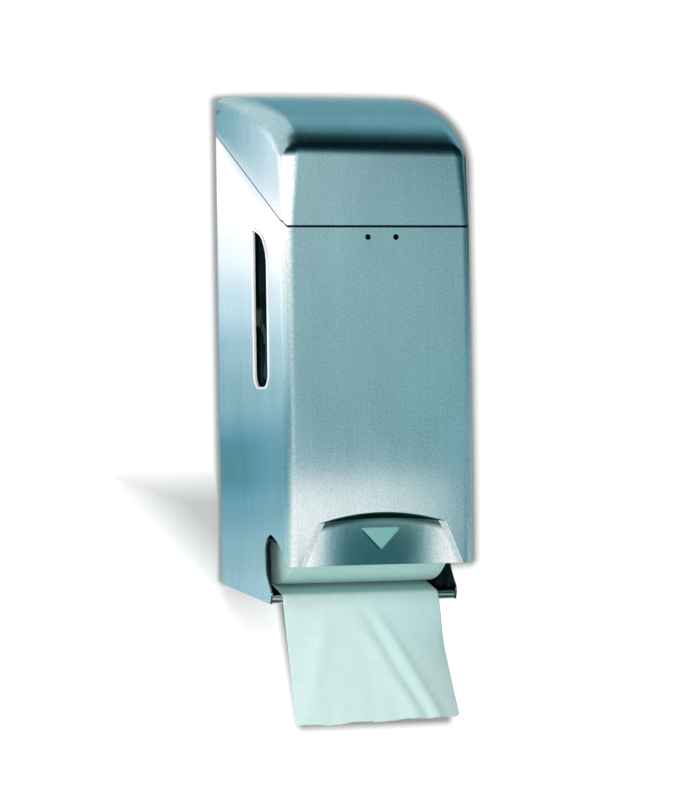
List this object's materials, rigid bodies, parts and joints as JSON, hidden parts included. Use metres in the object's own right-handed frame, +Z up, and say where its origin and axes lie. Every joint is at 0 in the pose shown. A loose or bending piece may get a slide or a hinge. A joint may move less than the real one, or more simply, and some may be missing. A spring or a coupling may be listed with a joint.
{
  "type": "double roll toilet paper dispenser",
  "caption": "Upright wall-mounted brushed steel toilet paper dispenser with a hinged curved hood, side windows, a finger recess and a paper sheet over the lower lip.",
  "frame": {"origin": "middle of the back plate's rear face, on the wall", "axes": "+Z up along the case's height, +Y into the wall, -Y out of the wall towards the user, +X to the user's right"},
  "size_m": [0.12, 0.138, 0.3886],
  "materials": {
    "case_steel": "brushed",
    "bare_steel": "satin",
    "spring_steel": "satin",
    "black_plastic": "matte",
    "tissue": "matte",
    "cardboard": "matte"
  },
  "bodies": {
    "case": {"back_plate": "case_steel", "body_shell": "case_steel", "bottom_tray": "bare_steel", "roll_guide_left": "black_plastic", "roll_guide_right": "black_plastic", "guide_screw_lower_left": "bare_steel", "guide_screw_lower_right": "bare_steel", "guide_screw_upper_left": "bare_steel", "guide_screw_upper_right": "bare_steel", "hinge_leaf_case": "bare_steel", "hinge_pin": "bare_steel", "latch_keeper": "bare_steel", "stop_pivot_left": "bare_steel", "stop_pivot_right": "bare_steel", "paper_sheet": "tissue"},
    "hood": {"hood": "case_steel", "hinge_leaf_hood": "bare_steel", "latch_stud_left": "bare_steel", "latch_stud_right": "bare_steel", "latch_nut_left": "bare_steel", "latch_nut_right": "bare_steel"},
    "latch": {"latch_leaf": "spring_steel"},
    "stop_left": {"reserve_stop_left": "black_plastic"},
    "stop_right": {"reserve_stop_right": "black_plastic"},
    "lower_roll": {"lower_spindle": "black_plastic", "lower_core": "cardboard", "lower_paper_roll": "tissue"},
    "reserve_roll": {"reserve_spindle": "black_plastic", "reserve_core": "cardboard", "reserve_paper_roll": "tissue"}
  },
  "joints": [
    {"name": "hood_hinge", "type": "hinge", "parent": "case", "child": "hood", "pos_m": [0, -0.008, 0.15503], "axis": [-1, 0, 0], "range_deg": [0, 85]},
    {"name": "latch_press", "type": "hinge", "parent": "hood", "child": "latch", "pos_m": [0.0023, -0.1367, 0.083], "axis": [1, 0, 0], "range_deg": [0, 11], "stiffness_Nm_per_rad": 6, "deforming": ["latch_leaf"]},
    {"name": "stop_left_swing", "type": "hinge", "parent": "case", "child": "stop_left", "pos_m": [-0.0567, -0.0945, 0.005], "axis": [1, 0, 0], "range_deg": [0, 60]},
    {"name": "stop_right_swing", "type": "hinge", "parent": "case", "child": "stop_right", "pos_m": [0.0567, -0.0945, 0.005], "axis": [1, 0, 0], "range_deg": [0, 60]},
    {"name": "lower_roll_spin", "type": "hinge", "parent": "case", "child": "lower_roll", "pos_m": [0, -0.0805, -0.093], "axis": [1, 0, 0], "continuous": true},
    {"name": "reserve_roll_spin", "type": "hinge", "parent": "case", "child": "reserve_roll", "pos_m": [0, -0.0805, 0.019], "axis": [1, 0, 0], "continuous": true}
  ]
}
